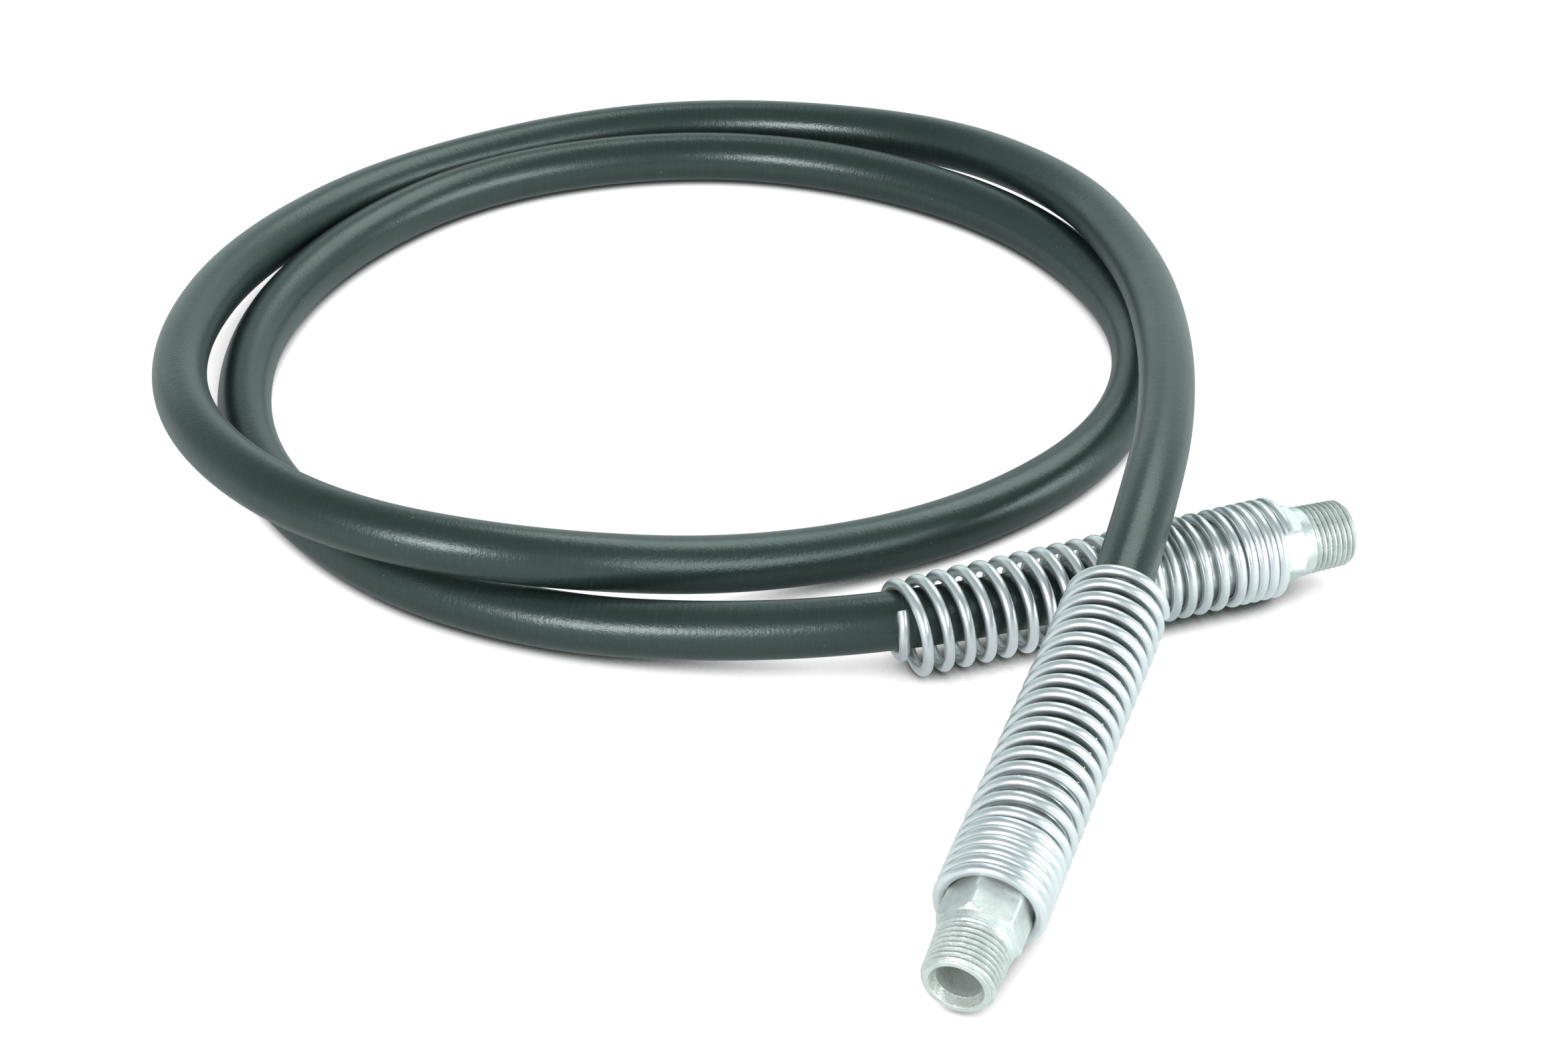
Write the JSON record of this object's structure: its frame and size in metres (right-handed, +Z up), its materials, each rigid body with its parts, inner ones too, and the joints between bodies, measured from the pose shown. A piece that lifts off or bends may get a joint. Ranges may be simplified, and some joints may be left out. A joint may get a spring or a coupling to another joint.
{
  "type": "hydraulic hose assembly",
  "caption": "Two-wire-braid rubber hydraulic hose lying in a loose double loop, with a crimped male taper-thread fitting and a coiled wire spring guard at each end.",
  "frame": {"origin": "middle of the footprint on the surface that the hose lies on", "axes": "+Z up from that surface; +Y along the loop's longer horizontal extent, away from the near end; +X towards the far end's fitting"},
  "size_m": [0.3136, 0.4218, 0.0415],
  "materials": {
    "cover_rubber": "satin black synthetic rubber with a faint wrap texture",
    "inner_rubber": "smooth black nitrile rubber",
    "braid_wire": "brassed high-tensile steel wire braid",
    "zinc_fitting": "clear zinc plate, matt and slightly grainy",
    "zinc_ferrule": "clear zinc plate, satin",
    "spring_wire": "bright zinc-plated drawn spring wire"
  },
  "bodies": {
    "root": {"hose_inner_tube": "inner_rubber", "inner_wire_braid": "braid_wire", "braid_interlayer": "inner_rubber", "outer_wire_braid": "braid_wire", "hose_cover": "cover_rubber", "near_end_fitting": "zinc_fitting", "far_end_fitting": "zinc_fitting", "near_crimp_ferrule": "zinc_ferrule", "far_crimp_ferrule": "zinc_ferrule", "near_spring_guard": "spring_wire", "far_spring_guard": "spring_wire"}
  },
  "joints": []
}
